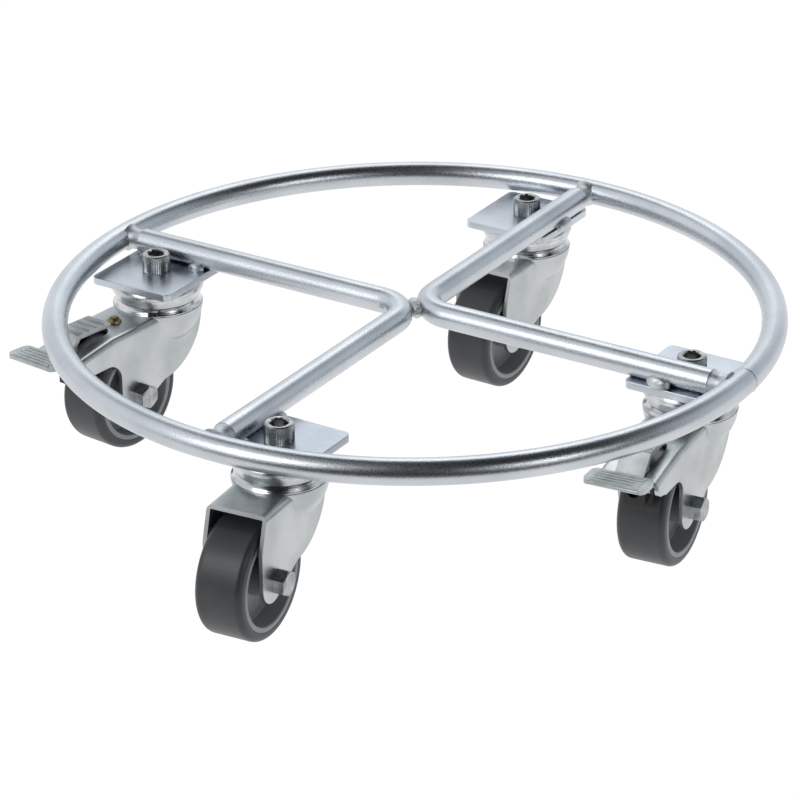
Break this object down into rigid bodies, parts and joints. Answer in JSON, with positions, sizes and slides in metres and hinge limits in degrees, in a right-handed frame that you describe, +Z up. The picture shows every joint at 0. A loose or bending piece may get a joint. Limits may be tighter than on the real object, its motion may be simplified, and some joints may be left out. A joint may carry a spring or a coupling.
{
  "type": "drum dolly",
  "caption": "Low round dolly: a ring of round bar on crossed V-bent arms, carried by swivel casters, two with a foot brake, for rolling a drum",
  "frame": {"origin": "on the floor under the centre of the ring", "axes": "+Z up through the centre of the ring; +X along the arm of the right caster, +Y along the arm of the back caster"},
  "size_m": [0.4604, 0.4907, 0.1217],
  "materials": {
    "bar_zinc": "bright zinc plated round bar, faintly blue, drawn surface",
    "weld_zinc": "zinc plated weld metal, lumpy and duller than the bar",
    "plate_zinc": "bright zinc plated steel plate",
    "screw_zinc": "zinc plated screws and nuts, turned sides",
    "cup_zinc": "shiny bright zinc on a pressed cup",
    "race_zinc": "shiny bright zinc on pressed races",
    "ball_steel": "polished plain steel, lightly oiled",
    "sheet_zinc": "satin zinc plated pressed sheet",
    "axle_zinc": "zinc plated hexagon bolt and nut",
    "lever_zinc": "satin zinc plated pressed sheet, edges rubbed bright",
    "hub_grey": "moulded light grey plastic",
    "tread_rubber": "soft dark grey rubber, slightly dusty",
    "block_black": "moulded black plastic",
    "spring_steel": "grey spring steel strip",
    "rivet_brass": "yellow passivated rivet, dull"
  },
  "bodies": {
    "frame": {"ring": "bar_zinc", "v_bar_left": "bar_zinc", "v_bar_right": "bar_zinc", "ring_welds": "weld_zinc", "centre_weld": "weld_zinc", "plate_welds": "weld_zinc", "swivel_screws": "screw_zinc", "swivel_nuts": "screw_zinc", "bottom_cones": "race_zinc", "plate_right": "plate_zinc", "plate_back": "plate_zinc", "plate_left": "plate_zinc", "plate_front": "plate_zinc", "top_cup_right": "cup_zinc", "top_cup_back": "cup_zinc", "top_cup_left": "cup_zinc", "top_cup_front": "cup_zinc"},
    "caster_right": {"fork_right": "sheet_zinc", "crown_ring_right": "race_zinc", "bearing_balls_right": "ball_steel", "axle_bolt_right": "axle_zinc", "axle_nut_right": "axle_zinc", "axle_sleeve_right": "ball_steel", "lever_pin_right": "ball_steel", "spring_rivet_right": "rivet_brass"},
    "wheel_right": {"hub_right": "hub_grey", "tread_right": "tread_rubber"},
    "pedal_right": {"pedal_lever_right": "lever_zinc"},
    "brake_right": {"brake_block_right": "block_black", "spring_leaf_right": "spring_steel"},
    "caster_back": {"fork_back": "sheet_zinc", "crown_ring_back": "race_zinc", "bearing_balls_back": "ball_steel", "axle_bolt_back": "axle_zinc", "axle_nut_back": "axle_zinc", "axle_sleeve_back": "ball_steel"},
    "wheel_back": {"hub_back": "hub_grey", "tread_back": "tread_rubber"},
    "caster_left": {"fork_left": "sheet_zinc", "crown_ring_left": "race_zinc", "bearing_balls_left": "ball_steel", "axle_bolt_left": "axle_zinc", "axle_nut_left": "axle_zinc", "axle_sleeve_left": "ball_steel", "lever_pin_left": "ball_steel", "spring_rivet_left": "rivet_brass"},
    "wheel_left": {"hub_left": "hub_grey", "tread_left": "tread_rubber"},
    "pedal_left": {"pedal_lever_left": "lever_zinc"},
    "brake_left": {"brake_block_left": "block_black", "spring_leaf_left": "spring_steel"},
    "caster_front": {"fork_front": "sheet_zinc", "crown_ring_front": "race_zinc", "bearing_balls_front": "ball_steel", "axle_bolt_front": "axle_zinc", "axle_nut_front": "axle_zinc", "axle_sleeve_front": "ball_steel"},
    "wheel_front": {"hub_front": "hub_grey", "tread_front": "tread_rubber"}
  },
  "joints": [
    {"name": "swivel_right", "type": "hinge", "parent": "frame", "child": "caster_right", "pos_m": [0.1825, 0.02, 0.0885], "axis": [0, 0, 1], "continuous": true},
    {"name": "spin_right", "type": "hinge", "parent": "caster_right", "child": "wheel_right", "pos_m": [0.18633, -0.01982, 0.0375], "axis": [0.9954, 0.0958, 0], "continuous": true},
    {"name": "pedal_hinge_right", "type": "hinge", "parent": "caster_right", "child": "pedal_right", "pos_m": [0.19103, -0.06859, 0.0755], "axis": [0.9954, 0.0958, 0], "range_deg": [0, 12]},
    {"name": "brake_flex_right", "type": "hinge", "parent": "caster_right", "child": "brake_right", "pos_m": [0.18653, -0.02181, 0.081], "axis": [0.9954, 0.0958, 0], "range_deg": [0, 2.1]},
    {"name": "swivel_back", "type": "hinge", "parent": "frame", "child": "caster_back", "pos_m": [-0.025, 0.1825, 0.0885], "axis": [0, 0, 1], "continuous": true},
    {"name": "spin_back", "type": "hinge", "parent": "caster_back", "child": "wheel_back", "pos_m": [-0.0257, 0.14251, 0.0375], "axis": [0.9998, -0.0175, 0], "continuous": true},
    {"name": "swivel_left", "type": "hinge", "parent": "frame", "child": "caster_left", "pos_m": [-0.1825, -0.02, 0.0885], "axis": [0, 0, 1], "continuous": true},
    {"name": "spin_left", "type": "hinge", "parent": "caster_left", "child": "wheel_left", "pos_m": [-0.18668, -0.05978, 0.0375], "axis": [0.9945, -0.1045, 0], "continuous": true},
    {"name": "pedal_hinge_left", "type": "hinge", "parent": "caster_left", "child": "pedal_left", "pos_m": [-0.1918, -0.10851, 0.0755], "axis": [0.9945, -0.1045, 0], "range_deg": [0, 12]},
    {"name": "brake_flex_left", "type": "hinge", "parent": "caster_left", "child": "brake_left", "pos_m": [-0.18689, -0.06177, 0.081], "axis": [0.9945, -0.1045, 0], "range_deg": [0, 2.1]},
    {"name": "swivel_front", "type": "hinge", "parent": "frame", "child": "caster_front", "pos_m": [0.0215, -0.1825, 0.0885], "axis": [0, 0, 1], "continuous": true},
    {"name": "spin_front", "type": "hinge", "parent": "caster_front", "child": "wheel_front", "pos_m": [0.02499, -0.22235, 0.0375], "axis": [0.9962, 0.0872, 0], "continuous": true}
  ],
  "couplings": [
    {"joint": "brake_flex_right", "follows": "pedal_hinge_right", "ratio": 0.175},
    {"joint": "brake_flex_left", "follows": "pedal_hinge_left", "ratio": 0.175}
  ]
}
